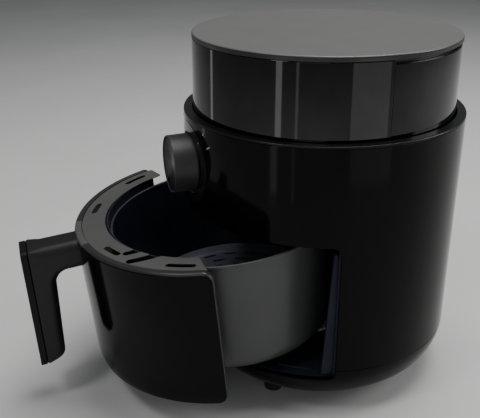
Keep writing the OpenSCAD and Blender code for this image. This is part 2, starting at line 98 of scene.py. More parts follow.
def fillet(corners, step=15):
    """Outline with round corners, from (x, y, radius) corners given counter-clockwise."""
    rows = []
    for i, (x, y, radius) in enumerate(corners):
        back = np.array(corners[i - 1][:2], float) - (x, y)
        ahead = np.array(corners[(i + 1) % len(corners)][:2], float) - (x, y)
        back /= np.linalg.norm(back)
        ahead /= np.linalg.norm(ahead)
        turn = math.atan2(ahead[0] * back[1] - ahead[1] * back[0], -back @ ahead)
        side = 1 if turn > 0 else -1
        first = math.atan2(back[0], -back[1])
        reach = radius * math.tan(abs(turn) / 2)
        centre = np.array((x, y)) + back * reach + np.array((back[1], -back[0])) * radius * side
        count = max(1, math.ceil(abs(math.degrees(turn)) / step))
        if radius == 0:
            half = first + turn / 2
            rows.append((x, y, math.cos(half), math.sin(half)))
            continue
        for k in range(count + 1):
            angle = first + turn * k / count
            nx, ny = math.cos(angle), math.sin(angle)
            rows.append((centre[0] + side * radius * nx, centre[1] + side * radius * ny, nx, ny))
    return np.array(rows)


def circle(x, y, radius, count=48, start=0.0):
    """Round outline, from the start angle in radians."""
    angle = start + np.arange(count) * 2 * math.pi / count
    nx, ny = np.cos(angle), np.sin(angle)
    return np.stack([x + radius * nx, y + radius * ny, nx, ny], 1)


def slot(x, y, length, width, angle=0.0, radius=None):
    """Slot with round ends, its length along x before it is turned by the angle in degrees."""
    a, b = length / 2, width / 2
    r = b - 0.01 if radius is None else radius
    rows = fillet([(-a, -b, r), (a, -b, r), (a, b, r), (-a, b, r)], 30)
    turn = math.radians(angle)
    c, s = math.cos(turn), math.sin(turn)
    spin = np.array([[c, s], [-s, c]])
    return np.hstack([rows[:, :2] @ spin + (x, y), rows[:, 2:] @ spin])


def hole(rows):
    """The same outline as the edge of a hole."""
    return np.hstack([rows[::-1, :2], -rows[::-1, 2:]])


def refined(rows, longest):
    """Outline with extra points on its long straight stretches."""
    out = []
    for i, row in enumerate(rows):
        after = rows[(i + 1) % len(rows)]
        out.append(row)
        count = math.ceil(np.linalg.norm(after[:2] - row[:2]) / longest)
        for k in range(1, count):
            mix = row + (after - row) * k / count
            mix[2:] /= np.linalg.norm(mix[2:])
            out.append(mix)
    return np.array(out)


def inside(points, outlines):
    """Which points lie within the outlines, by the even-odd rule."""
    odd = np.zeros(len(points), bool)
    for rows in outlines:
        a, b = rows[:, :2], np.roll(rows[:, :2], -1, 0)
        y = points[:, 1:2]
        crosses = (a[:, 1] > y) != (b[:, 1] > y)
        rise = np.where(b[:, 1] == a[:, 1], 1e-12, b[:, 1] - a[:, 1])
        x = a[:, 0] + (y - a[:, 1]) * (b[:, 0] - a[:, 0]) / rise
        odd ^= ((crosses & (points[:, 0:1] < x)).sum(1) % 2).astype(bool)
    return odd


# ---------- shapes ----------

class Shape:
    """Vertices, faces, normals and a material number for each face."""

    def __init__(self, verts, faces, normals, mats=None):
        self.verts = np.asarray(verts, float)
        self.faces = faces
        self.normals = np.asarray(normals, float)
        self.mats = mats if mats is not None else [0] * len(faces)

    def __add__(self, other):
        shift = len(self.verts)
        return Shape(
            np.vstack([self.verts, other.verts]),
            self.faces + [tuple(i + shift for i in face) for face in other.faces],
            np.vstack([self.normals, other.normals]),
            self.mats + other.mats,
        )

    def moved(self, matrix):
        """The same shape put in place by a matrix."""
        m = np.array(matrix)
        verts = self.verts @ m[:3, :3].T + m[:3, 3]
        normals = self.normals @ m[:3, :3].T
        normals /= np.linalg.norm(normals, axis=1)[:, None]
        return Shape(verts, self.faces, normals, self.mats)

    def welded(self):
        """The same shape with the points that coincide joined into one."""
        seen, index = {}, []
        for i, key in enumerate(map(tuple, np.round(self.verts, 3))):
            index.append(seen.setdefault(key, i))
        faces, mats = [], []
        for face, mat in zip(self.faces, self.mats):
            ring = [index[i] for i in face]
            ring = [v for k, v in enumerate(ring) if v != ring[k - 1]]
            if len(set(ring)) > 2:
                faces.append(tuple(ring))
                mats.append(mat)
        used = sorted({v for face in faces for v in face})
        place = {v: k for k, v in enumerate(used)}
        faces = [tuple(place[v] for v in face) for face in faces]
        return Shape(self.verts[used], faces, self.normals[used], mats)


def unit(v):
    """The same rows, each made one long."""
    return v / np.maximum(np.linalg.norm(v, axis=1), 1e-12)[:, None]


def frame_at(place, u, v):
    """Outward normal of the face and its two directions, at each (u, v)."""
    h = 0.01
    zero = np.zeros_like(u)
    along_u = place(u + h, v, zero) - place(u - h, v, zero)
    along_v = place(u, v + h, zero) - place(u, v - h, zero)
    out = place(u, v, zero - h) - place(u, v, zero + h)
    normal = np.cross(along_u, along_v)
    sign = 1 if (normal * out).sum() > 0 else -1
    return unit(normal) * sign, unit(along_u), unit(along_v), sign


def plate(outlines, place, thick, edge, back=None, cell=5.0, steps=4, weld=None):
    """Closed plate with rounded edges. The first outline is its rim and the rest are holes, in (u, v);
    place(u, v, depth) bends it into shape. edge and back are the edge radii of its two faces, as
    numbers or as functions of the outline's rows. Edges where weld(u, v) is true stay open, to be
    joined with the same edge of another plate."""
    back = edge if back is None else back
    outlines = [refined(rows, cell) for rows in outlines]
    radii = []
    for radius in (edge, back):
        radii.append([
            radius(rows) if callable(radius) else np.full(len(rows), float(radius)) for rows in outlines
        ])
    open_edges = []
    for k, rows in enumerate(outlines):
        flag = weld(rows[:, 0], rows[:, 1]) if weld else np.zeros(len(rows), bool)
        inner = flag & np.roll(flag, 1) & np.roll(flag, -1)
        corner = flag & ~inner
        rows[corner, 2] = 0
        rows[corner, 3] = np.sign(rows[corner, 3])
        for radius in radii:
            radius[k][inner] = 0
        open_edges.append(flag & np.roll(flag, -1))
    rim = np.vstack(outlines)
    front_r, back_r = np.concatenate(radii[0]), np.concatenate(radii[1])
    face = [
        np.hstack([rows[:, :2] - rows[:, 2:] * r[:, None], rows[:, 2:]])
        for rows, r in zip(outlines, radii[0])
    ]
    edge_points = np.vstack([rows[:, :2] for rows in face])
    low, high = edge_points.min(0), edge_points.max(0)
    counts = np.maximum(1, np.ceil((high - low) / cell)).astype(int)
    grid = np.stack(np.meshgrid(*[np.linspace(l, h, c + 1)[1:-1] for l, h, c in zip(low, high, counts)]), -1)
    grid = grid.reshape(-1, 2)
    if len(grid):
        gap = np.array([np.hypot(*(edge_points - p).T).min() for p in grid])
        grid = grid[(gap > 0.55 * cell) & inside(grid, face)]
    points = np.vstack([edge_points, grid]) if len(grid) else edge_points
    links, start = [], 0
    for rows in face:
        n = len(rows)
        links += [(start + i, start + (i + 1) % n) for i in range(n)]
        start += n
    _, _, tris, origin, _, _ = delaunay_2d_cdt([Vector(p) for p in points], links, [], 0, 1e-6)
    source = [o[0] if o else -1 for o in origin]
    tris = np.array([[source[i] for i in t] for t in tris if all(source[i] >= 0 for i in t)])
    tris = tris[inside(points[tris].mean(1), face)]

    n_rim, n_all = len(rim), len(points)
    normal, _, _, sign = frame_at(place, points[:, 0], points[:, 1])
    flat = np.zeros(n_all)
    back_points = points.copy()
    back_points[:n_rim] = rim[:, :2] - rim[:, 2:] * back_r[:, None]
    layers = [place(points[:, 0], points[:, 1], flat)]
    layer_normals = [normal]
    rim_normal, rim_u, rim_v, _ = frame_at(place, rim[:, 0], rim[:, 1])
    side = unit(rim_u * rim[:, 2:3] + rim_v * rim[:, 3:4])
    for k in range(1, 2 * steps + 1):
        if k <= steps:
            angle = math.pi / 2 * k / steps
            r, deep, face_sign = front_r, front_r * (1 - math.cos(angle)), 1
        else:
            angle = math.pi / 2 * (2 * steps - k) / steps
            r, deep, face_sign = back_r, thick - back_r * (1 - math.cos(angle)), -1
            if k == 2 * steps:
                break
        at = rim[:, :2] - rim[:, 2:] * (r * (1 - math.sin(angle)))[:, None]
        layers.append(place(at[:, 0], at[:, 1], deep))
        layer_normals.append(unit(rim_normal * math.cos(angle) * face_sign + side * math.sin(angle)))
        if k == steps:
            layers.append(place(rim[:, 0], rim[:, 1], thick - back_r))
            layer_normals.append(side)
    layers.append(place(back_points[:, 0], back_points[:, 1], flat + thick))
    layer_normals.append(-normal)

    starts = np.concatenate([[0], np.cumsum([len(layer) for layer in layers])])
    turn = (lambda f: f) if sign > 0 else (lambda f: f[::-1])
    faces = [turn(tuple(t)) for t in tris]
    faces += [turn(tuple(t[::-1] + starts[len(layers) - 1])) for t in tris]
    start = 0
    for rows, skip in zip(outlines, open_edges):
        n = len(rows)
        for i in range(n):
            if skip[i]:
                continue
            a, b = start + i, start + (i + 1) % n
            for k in range(len(layers) - 1):
                here, below = starts[k], starts[k + 1]
                faces.append(turn((here + a, below + a, below + b, here + b)))
        start += n
    return Shape(np.vstack(layers), faces, np.vstack(layer_normals)).welded()


def lathe(profile, count=128, mats=None):
    """Solid of revolution about Z, from a closed outline in (radius, height)."""
    profile = profile.copy()
    pole = profile[:, 0] < 1e-6
    profile[pole, 2:] = np.stack([np.zeros(pole.sum()), np.sign(profile[pole, 3])], 1)
    n = len(profile)
    angle = np.arange(count) * 2 * math.pi / count
    c, s = np.cos(angle)[None, :], np.sin(angle)[None, :]
    r, z, nr, nz = [column[:, None] for column in profile.T]
    verts = np.stack([r * c, r * s, z + 0 * c], -1).reshape(-1, 3)
    normals = np.stack([nr * c, nr * s, nz + 0 * c], -1).reshape(-1, 3)
    faces, numbers = [], []
    for i in range(n):
        k = (i + 1) % n
        if profile[i, 0] < 1e-6 and profile[k, 0] < 1e-6:
            continue
        for j in range(count):
            m = (j + 1) % count
            faces.append((i * count + j, i * count + m, k * count + m, k * count + j))
            numbers.append(mats(profile[i], profile[k]) if mats else 0)
    return Shape(verts, faces, normals, numbers).welded()


def spun(corners, count=128, mats=None, step=15):
    """Solid of revolution from (radius, height, corner radius) corners."""
    return lathe(fillet(corners, step), count, mats)


def ring_section(r0, r1, z0, z1, radius):
    """Corners of a box-shaped section between two radii and two heights."""
    return [(r0, z0, radius), (r1, z0, radius), (r1, z1, radius), (r0, z1, radius)]


# ---------- materials ----------

def nodes_of(name, colour, rough, metallic=0.0):
    """New material: its node tree, a maker of nodes, a maker of links and the shader."""
    material = bpy.data.materials.new(name)
    material.use_nodes = True
    tree = material.node_tree
    shader = tree.nodes["Principled BSDF"]
    shader.inputs["Base Color"].default_value = (*colour, 1)
    shader.inputs["Roughness"].default_value = rough
    shader.inputs["Metallic"].default_value = metallic
    material.diffuse_color = (*colour, 1)
    return material, tree, shader


def noise(tree, scale, detail=3.0, stretch=(1, 1, 1), distort=0.0):
    """Noise over the object's own coordinates, in metres."""
    where = tree.nodes.new("ShaderNodeTexCoord")
    mapping = tree.nodes.new("ShaderNodeMapping")
    mapping.inputs["Scale"].default_value = stretch
    texture = tree.nodes.new("ShaderNodeTexNoise")
    texture.inputs["Scale"].default_value = scale
    texture.inputs["Detail"].default_value = detail
    texture.inputs["Distortion"].default_value = distort
    tree.links.new(where.outputs["Object"], mapping.inputs["Vector"])
    tree.links.new(mapping.outputs["Vector"], texture.inputs["Vector"])
    return texture.outputs["Fac"]


def spread(tree, value, low, high, start=0.35, end=0.65):
    """Value mapped from start..end to low..high."""
    node = tree.nodes.new("ShaderNodeMapRange")
    node.inputs["From Min"].default_value = start
    node.inputs["From Max"].default_value = end
    node.inputs["To Min"].default_value = low
    node.inputs["To Max"].default_value = high
    tree.links.new(value, node.inputs["Value"])
    return node.outputs["Result"]


def tint(tree, value, first, second, start=0.35, end=0.65):
    """Colour that goes from first to second as the value goes from start to end."""
    ramp = tree.nodes.new("ShaderNodeValToRGB")
    ramp.color_ramp.elements[0].position = start
    ramp.color_ramp.elements[1].position = end
    ramp.color_ramp.elements[0].color = (*first, 1)
    ramp.color_ramp.elements[1].color = (*second, 1)
    tree.links.new(value, ramp.inputs["Fac"])
    return ramp.outputs["Color"]


def bump(tree, shader, value, strength, distance=0.0002):
    """Raises the surface by the value; the distance is in metres."""
    node = tree.nodes.new("ShaderNodeBump")
    node.inputs["Strength"].default_value = strength
    node.inputs["Distance"].default_value = distance
    tree.links.new(value, node.inputs["Height"])
    tree.links.new(node.outputs["Normal"], shader.inputs["Normal"])


def scaled(colour, factor):
    """The colour made lighter or darker."""
    return tuple(c * factor for c in colour)


def plastic(name, colour, rough, grain=900.0, depth=0.12, vary=0.12, specular=0.5, coat=0.0, rub=0.05):
    """Moulded plastic: a fine moulded grain, faint rubbed patches and slight colour drift."""
    material, tree, shader = nodes_of(name, colour, rough)
    shader.inputs["Specular IOR Level"].default_value = specular
    shader.inputs["Coat Weight"].default_value = coat
    shader.inputs["Coat Roughness"].default_value = 0.03
    patches = noise(tree, 38, 4.0)
    drift = tint(tree, patches, scaled(colour, 1 - vary), scaled(colour, 1 + vary))
    tree.links.new(drift, shader.inputs["Base Color"])
    worn = spread(tree, noise(tree, 16, 5.0), rough - rub, rough + rub)
    tree.links.new(worn, shader.inputs["Roughness"])
    bump(tree, shader, noise(tree, grain, 2.0), depth)
    return material


def metal(name, colour, rough, grain=700.0, depth=0.1, stretch=(1, 1, 1), aniso=0.0, vary=0.1, edge=1.0):
    """Sheet or turned metal: brushed or mottled by a stretched grain."""
    material, tree, shader = nodes_of(name, colour, rough, 1.0)
    shader.inputs["Specular Tint"].default_value = (edge, edge, edge, 1)
    shader.inputs["Anisotropic"].default_value = aniso
    if aniso:
        turned = tree.nodes.new("ShaderNodeTangent")
        turned.direction_type = "RADIAL"
        turned.axis = "Y"
        tree.links.new(turned.outputs["Tangent"], shader.inputs["Tangent"])
    patches = noise(tree, 60, 4.0, stretch)
    drift = tint(tree, patches, scaled(colour, 1 - vary), scaled(colour, 1 + vary))
    tree.links.new(drift, shader.inputs["Base Color"])
    worn = spread(tree, noise(tree, 25, 4.0), rough * 0.85, rough * 1.15)
    tree.links.new(worn, shader.inputs["Roughness"])
    bump(tree, shader, noise(tree, grain, 2.0, stretch), depth, 0.0001)
    return material


# Colour, roughness, scale and depth of the grain, then colour drift and specular level
GLOSS_BLACK = plastic("gloss_black", (0.0026, 0.0026, 0.0026), 0.1, 12, 0.006, 0.1, 0.09, rub=0.02)
SMOKED = metal("smoked_gloss", (0.040, 0.040, 0.041), 0.05, 10, 0.004, vary=0.05)
GLOSS_DARK = plastic("gloss_dark", (0.008, 0.008, 0.0085), 0.16, 14, 0.01, 0.1, rub=0.03)
SEMI_BLACK = plastic("ledge_black", (0.009, 0.009, 0.009), 0.28, 700, 0.04, 0.1, 0.22)
LID_MATTE = plastic("lid_matte", (0.112, 0.112, 0.107), 0.42, 1500, 0.16, 0.02, rub=0.012)
RIM_MATTE = plastic("rim_matte", (0.073, 0.073, 0.070), 0.44, 1300, 0.14, 0.05)
# Grey of the drawer's cap; the lid's side and underside also take it, as painted shade.
CAP_MATTE_AND_LID_SHADE = plastic("cap_matte_and_lid_shade", (0.021, 0.021, 0.0205), 0.32, 1200, 0.1, 0.08)
HANDLE_MATTE = plastic("handle_matte", (0.0095, 0.0095, 0.0095), 0.44, 1200, 0.16, 0.08, 0.32)
HANDLE_SATIN = plastic("handle_satin", (0.004, 0.004, 0.0038), 0.42, 1100, 0.1, 0.08, 0.2)
KNOB_MATTE = plastic("knob_matte", (0.030, 0.030, 0.030), 0.45, 1200, 0.18, 0.08)
CAVITY = plastic("cavity_plastic", (0.016, 0.020, 0.031), 0.32, 500, 0.05, 0.12, 0.12)
FOOT_RUBBER = plastic("foot_rubber", (0.012, 0.012, 0.012), 0.75, 800, 0.4, 0.2)
SILICONE = plastic("silicone", (0.03, 0.03, 0.031), 0.55, 500, 0.2, 0.15)
NYLON = plastic("nylon", (0.45, 0.45, 0.42), 0.45, 400, 0.1, 0.06)
WHITE_BLOCK = plastic("block_white", (0.6, 0.59, 0.55), 0.42, 500, 0.1, 0.05)
CERAMIC = plastic("ceramic_white", (0.62, 0.6, 0.54), 0.3, 90, 0.08, 0.08)
SWITCH_BLUE = plastic("switch_blue", (0.03, 0.07, 0.2), 0.4, 500, 0.1, 0.1)
FAN_PLASTIC = plastic("cooling_plastic", (0.02, 0.02, 0.021), 0.4, 600, 0.12, 0.1)
MARK = plastic("dial_mark", (0.30, 0.30, 0.30), 0.4, 600, 0.05, 0.05)
PAN_COAT = plastic("pan_coat", (0.053, 0.0545, 0.0545), 0.36, 900, 0.08, 0.04, rub=0.04)
NON_STICK = plastic("non_stick", (0.012, 0.014, 0.024), 0.3, 700, 0.1, 0.2, 0.45)
# Lighter copy of the non-stick coat for the crisper plate: painted light that stands in for light the lamps bring
# too little of.
PLATE_COAT_PAINTED_LIGHT = plastic("plate_coat_painted_light", (0.11, 0.12, 0.145), 0.28, 700, 0.06, 0.12, 0.5)
KNOB_METAL = metal("knob_metal", (0.030, 0.030, 0.030), 0.22, 600, 0.02, aniso=0.92, edge=0.5)
LINER_STEEL = metal("liner_steel", (0.03, 0.032, 0.036), 0.35, 300, 0.12, (1, 1, 12))
WIRE_STEEL = metal("wire_steel", (0.4, 0.4, 0.41), 0.2, 400, 0.05)
SHEATH = metal("element_sheath", (0.10, 0.075, 0.06), 0.42, 250, 0.2, vary=0.3)
MOTOR_STEEL = metal("motor_steel", (0.3, 0.3, 0.31), 0.35, 120, 0.1, vary=0.15)
SHAFT_STEEL = metal("shaft_steel", (0.5, 0.5, 0.51), 0.22, 500, 0.05, (1, 1, 8))
FAN_METAL = metal("fan_aluminium", (0.5, 0.5, 0.5), 0.3, 300, 0.1, (6, 1, 1))
SCREW_STEEL = metal("screw_steel", (0.45, 0.45, 0.46), 0.28, 800, 0.08)


# ---------- pieces ----------

def piece(name, shape, matrix, body, materials, slot_name, *stands_for):
    """Puts a shape in its place as one object that rides on a body and stands for CAD nodes."""
    shape = shape.moved(matrix)
    mesh = bpy.data.meshes.new(name)
    mesh.from_pydata(shape.verts.tolist(), [], shape.faces)
    mesh.polygons.foreach_set("use_smooth", [True] * len(mesh.polygons))
    mesh.normals_split_custom_set_from_vertices(shape.normals.tolist())
    materials = materials if isinstance(materials, tuple) else (materials,)
    for material in materials:
        mesh.materials.append(material)
    mesh.polygons.foreach_set("material_index", shape.mats)
    mesh.update()
    obj = bpy.data.objects.new(name, mesh)
    bpy.context.scene.collection.objects.link(obj)
    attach(obj, body)
    if stands_for:
        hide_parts(*stands_for)
    return obj


def body_radius(z):
    """Outer radius of the body at a height, with its elliptical rounding at the foot."""
    below = np.clip((ROUND_H - np.asarray(z, float)) / ROUND_H, 0, 1)
    return BODY_R - ROUND_W + ROUND_W * np.sqrt(1 - below ** 2)


def on_body(u, v, depth):
    """u runs round the body from its front, v is the height."""
    angle = u / BODY_R
    r = body_radius(v) - depth
    return np.stack([r * np.sin(angle), -r * np.cos(angle), v + 0 * u], -1)


def round_at(radius):
    """Place for a plate that bends round the axis: u is the arc at that radius, v is the height."""
    def place(u, v, depth):
        angle = u / radius
        r = radius - depth
        return np.stack([r * np.sin(angle), -r * np.cos(angle), v + 0 * u], -1)
    return place


def arc_mm(degrees, radius=None):
    """Length of an arc, round the body unless a radius is given."""
    return math.radians(degrees) * (BODY_R if radius is None else radius)


# The body's wall is rolled out from a line at its back left, where the two ends join
ROLL_START, ROLL_END = arc_mm(-120), arc_mm(240)
OPENING_HALF = math.degrees(math.acos(OPENING_Y / BODY_R))


def at_roll_ends(u, _):
    """Whether a point of the rolled-out wall is on the line where its ends join."""
    return (np.abs(u - ROLL_START) < 1e-6) | (np.abs(u - ROLL_END) < 1e-6)


def outer_shell():
    """Round wall of the body with its opening, the hole for the dial and the air outlet."""
    low, high = SEAM_Z + 0.2, BODY_H - 2
    half = arc_mm(OPENING_HALF)
    rim = fillet([
        (ROLL_START, low, 0), (-half, low, 1), (-half, OPENING_Z1, OPENING_CORNER),
        (half, OPENING_Z1, OPENING_CORNER), (half, low, 1), (ROLL_END, low, 0),
        (ROLL_END, high, 0), (ROLL_START, high, 0),
    ], 9)
    dial_hole = hole(circle(0, KNOB_Z, DIAL_HOLE_R, 64))
    air_z, air_w, air_h, air_corner = 202, 94.2, 48, 5
    air = hole(slot(arc_mm(180), air_z, air_w, air_h, radius=air_corner))

    def edge(rows):
        """Small rounding at the top and at the seam, and a larger one round the opening."""
        z = rows[:, 1]
        return np.where(z > high - 1, 0.3, np.where(z < low + 0.9, 0.35, 0.9))

    shape = plate([rim, dial_hole, air], on_body, WALL, edge, 0.3, CELL, weld=at_roll_ends)
    piece("body_shell", shape, HOUSING, "housing", GLOSS_BLACK, "gloss_black", "outer_shell")


def bowl_table():
    """Arc length, radius, height and normal along the rounding, up from the rim of the flat bottom."""
    start = math.acos((FLAT_R - BODY_R + ROUND_W) / ROUND_W)
    angle = np.linspace(-start, 0, 400)
    r = BODY_R - ROUND_W + ROUND_W * np.cos(angle)
    z = ROUND_H + ROUND_H * np.sin(angle)
    length = np.concatenate([[0], np.cumsum(np.hypot(np.diff(r), np.diff(z)))])
    nr, nz = np.cos(angle) / ROUND_W, np.sin(angle) / ROUND_H
    size = np.hypot(nr, nz)
    return length, r, z, nr / size, nz / size


BOWL = bowl_table()


def on_bowl(u, v, depth):
    """u runs round the body, v along the rounding of its foot."""
    angle = u / BODY_R
    r, z, nr, nz = [np.interp(v, BOWL[0], column) for column in BOWL[1:]]
    r, z = r - nr * depth, z - nz * depth
    return np.stack([r * np.sin(angle), -r * np.cos(angle), z + 0 * u], -1)


def bowl_height(z):
    """Length along the rounding of the foot at a height."""
    return float(np.interp(z, BOWL[2], BOWL[0]))


SCREW_AT, SCREW_ANGLES = 70, (45, 135, 225, 315)
FOOT_AT, FOOT_ANGLES = 90, (42, 132, 222, 312)


def turned_to(angle, reach):
    """Place at an angle from the front, in degrees, and a distance from the axis."""
    return Matrix.Rotation(math.radians(angle - 90), 4, "Z") @ Matrix.Translation((reach, 0, 0))


def base_bowl():
    """Rounded foot with its flat bottom, vents and screw bosses."""
    half = arc_mm(OPENING_HALF)
    top, notch = bowl_height(SEAM_Z), bowl_height(OPENING_Z0)
    rim = fillet([
        (ROLL_START, 0, 0), (ROLL_END, 0, 0), (ROLL_END, top, 0), (half, top, 1),
        (half, notch, OPENING_CORNER), (-half, notch, OPENING_CORNER), (-half, top, 1), (ROLL_START, top, 0),
    ], 9)
    gland = hole(circle(arc_mm(180), bowl_height(24), 7.2, 32))

    def open_edge(u, v):
        """The ends of the roll, and the edge that joins the flat bottom."""
        return at_roll_ends(u, v) | (np.abs(v) < 1e-6)

    def edge(rows):
        """Small rounding at the seam, and a larger one round the opening."""
        return np.where(rows[:, 1] > top - 0.9, 0.35, 0.9)

    side = plate([rim, gland], on_bowl, WALL, edge, 0.3, CELL, weld=open_edge)
    count = math.ceil((ROLL_END - ROLL_START) / CELL)
    flat = circle(0, 0, float(BOWL[1][0]), count, math.radians(-120 - 90))
    vents = [hole(slot(9 * k, 0, 44, 3.5, 90)) for k in range(-4, 5)]
    screws = [
        hole(circle(SCREW_AT * math.sin(a), -SCREW_AT * math.cos(a), 4.4, 32))
        for a in np.radians(SCREW_ANGLES)
    ]

    def under(x, y, depth):
        rho = np.hypot(x, y)
        below = np.clip((rho - BODY_R + ROUND_W) / ROUND_W, 0, 1)
        return np.stack([x, y, ROUND_H - ROUND_H * np.sqrt(1 - below ** 2) + depth], -1)

    def round_edge(x, y):
        """The rim of the flat bottom, which joins the rounding."""
        return np.hypot(x, y) > BOWL[1][0] - 1e-3

    bottom = plate([flat, *vents, *screws], under, WALL, 0.5, 0.3, 6, 3, weld=round_edge)
    shape = (side + bottom).welded()
    for angle in SCREW_ANGLES:
        turn = turned_to(angle, SCREW_AT)
        boss = spun([(1.6, 2.5, 0.2), (6, 2.5, 0.2), (6, 26.5, 0.6), (1.6, 26.5, 0.4)], 32)
        shape = shape + boss.moved(turn)
    piece("base_bowl", shape, HOUSING, "housing", GLOSS_BLACK, "gloss_black", "base_tub")


def rubber_feet():
    """Four feet, their tops cut to the rounding that they sit in."""
    foot = spun([(0, -5, 0), (8, -5, 1.2), (9.5, 6, 0.4), (0, 6, 0)], 48)
    for k, angle in enumerate(FOOT_ANGLES):
        shape = foot.moved(turned_to(angle, FOOT_AT))
        top = shape.verts[:, 2] > 2
        rho = np.hypot(shape.verts[top, 0], shape.verts[top, 1])
        below = np.clip((rho - BODY_R + ROUND_W) / ROUND_W, 0, 1)
        shape.verts[top, 2] = ROUND_H - ROUND_H * np.sqrt(1 - below ** 2) + 0.4
        stands_for = ("rubber_feet",) if k == 0 else ()
        piece(f"rubber_foot_{k + 1}", shape, HOUSING, "housing", FOOT_RUBBER, "foot_rubber", *stands_for)


def shoulder_ring():
    """Ledge between the body and the band."""
    shape = spun([
        (BAND_R + 0.5, BODY_H - 4, 0.2), (BODY_R - WALL - 0.2, BODY_H - 4, 0.2),
        (BODY_R - WALL - 0.2, BODY_H - 1.8, 0.2), (BODY_R, BODY_H - 1.8, 0.15),
        (BODY_R - 0.2, BODY_H, 1.3), (BAND_R + 0.5, BODY_H + 0.1, 0.4),
    ], 192)
    piece("ledge_ring", shape, HOUSING, "housing", SEMI_BLACK, "gloss_black", "shoulder_ring")


def tapered(r0, z0, r1, z1):
    """Place for a plate that bends round the axis on a cone; u is the arc at r0."""
    def place(u, v, depth):
        angle = u / r0
        r = r0 + (r1 - r0) * (v - z0) / (z1 - z0) - depth
        return np.stack([r * np.sin(angle), -r * np.cos(angle), v + 0 * u], -1)
    return place


def band_front():
    """Front section of the glossy band."""
    half, top = arc_mm(BAND_HALF_DEG, BAND_R), BAND_Z + BAND_H
    rim = fillet([(-half, BAND_Z, 0.8), (half, BAND_Z, 0.8), (half, top, 0.8), (-half, top, 0.8)])
    place = tapered(BAND_R, BAND_Z, BAND_TOP_R, top)
    shape = plate([rim], place, 2.4, 0.5, 0.3, 4)
    piece("glossy_band", shape, HOUSING, "housing", SMOKED, "smoked_gloss", "band_front")


def band_rear():
    """Rear section of the band, set in a little and with vents."""
    inset, gap = 0.8, 0.3
    r, top = BAND_R - inset, BAND_Z + BAND_H - 3
    low, high = arc_mm(BAND_HALF_DEG + gap, r), arc_mm(360 - BAND_HALF_DEG - gap, r)
    rim = fillet([(low, BAND_Z, 0.8), (high, BAND_Z, 0.8), (high, top, 0.8), (low, top, 0.8)])
    vents = [hole(slot(arc_mm(a, r), BODY_H + 28, 28, 3, 90)) for a in range(165, 196, 5)]
    place = tapered(r, BAND_Z, BAND_TOP_R - inset, BAND_Z + BAND_H)
    shape = plate([rim, *vents], place, 2.4, 0.5, 0.3, 4)
    piece("rear_band", shape, HOUSING, "housing", SMOKED, "gloss_dark", "band_rear")


def top_lid():
    """Flat cap, matte above its edge, with painted shade in the darker cap material on its side and underside."""
    base = BAND_Z + BAND_H
    r = BAND_TOP_R
    # Faces below the top's edge get the darker cap material: painted shade on the lid's side and underside.
    shape = spun([
        (0, base + LID_H - 2.2, 0), (r - 7, base + LID_H - 2.2, 1.5), (r - 7, base - 8, 0.4),
        (r - 4, base - 8, 0.4), (r - 4, base + 0.2, 0.3), (r + 0.1, base + 0.2, 0.3),
        (r + 0.1, base + LID_H, 1.6), (r - 14, base + LID_H + 0.3, 6), (0, base + LID_H + 0.4, 0),
    ], 192, lambda a, b: 1 if min(a[1], b[1]) < base + LID_H - 1.1 else 0)
    piece("lid", shape, HOUSING, "housing", (LID_MATTE, CAP_MATTE_AND_LID_SHADE), "lid_matte", "top_lid")


# ---------- knob and dial ----------

CUP_R = 26.8
CUP_Z = 119.3
KNOB_R = 25.5
KNOB_FRONT = (AXIS_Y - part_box("knob_shell")[0].y) / MM
KNOB = HOUSING @ Matrix.Translation((0, 0, KNOB_Z)) @ TO_FRONT


def dial_plate():
    """Thin round plate on the body, and the cup behind the knob."""
    lift = 0.3
    rim, inner = circle(0, KNOB_Z, DIAL_R, 96), hole(circle(0, KNOB_Z, CUP_R + 1.2, 96))
    skin = plate([rim, inner], lambda u, v, d: on_body(u, v, d - lift), 0.28, 0.12, 0.05, 4, 3)
    cup = spun([
        (6.3, CUP_Z, 0.2), (CUP_R + 1.5, CUP_Z, 0.3), (CUP_R + 1.5, BODY_R, 0.3), (CUP_R, BODY_R, 0.5),
        (CUP_R, CUP_Z + 1.5, 0.6), (6.3, CUP_Z + 1.5, 0.2),
    ], 96)
    high = cup.verts[:, 2] > BODY_R - 2
    surface = np.sqrt(BODY_R ** 2 - cup.verts[high, 0] ** 2) + lift
    cup.verts[high, 2] += surface - BODY_R
    back = Matrix.Translation((0, 0, KNOB_Z)) @ TO_FRONT
    piece("dial", skin + cup.moved(back), HOUSING, "housing", GLOSS_DARK, "gloss_dark", "dial_plate")


# Marks of the dial: angle from the top, inner and outer reach, width
DIAL_MARKS = ((58.3, 43.9, 49.3, 1.4), (43.7, 45.8, 48.4, 1.2), (44.5, 32.8, 34.2, 1.38))


def dial_marks():
    """Raised marks round the knob: a long and a short stroke on each side, and a dot by the short one."""
    marks = []
    for side in (-1, 1):
        for angle, low, high, width in DIAL_MARKS:
            a = math.radians(angle) * side
            middle, length = (low + high) / 2, high - low
            x, z = middle * math.sin(a), KNOB_Z + middle * math.cos(a)
            marks.append(slot(BODY_R * math.asin(x / BODY_R), z, length, width, 90 - math.degrees(a)))
    shapes = [plate([m], lambda u, v, d: on_body(u, v, d - 0.42), 0.5, 0.1, 0.05, 1, 2) for m in marks]
    shape = shapes[0]
    for more in shapes[1:]:
        shape = shape + more
    piece("dial_marks", shape, HOUSING, "housing", MARK, "gloss_dark")


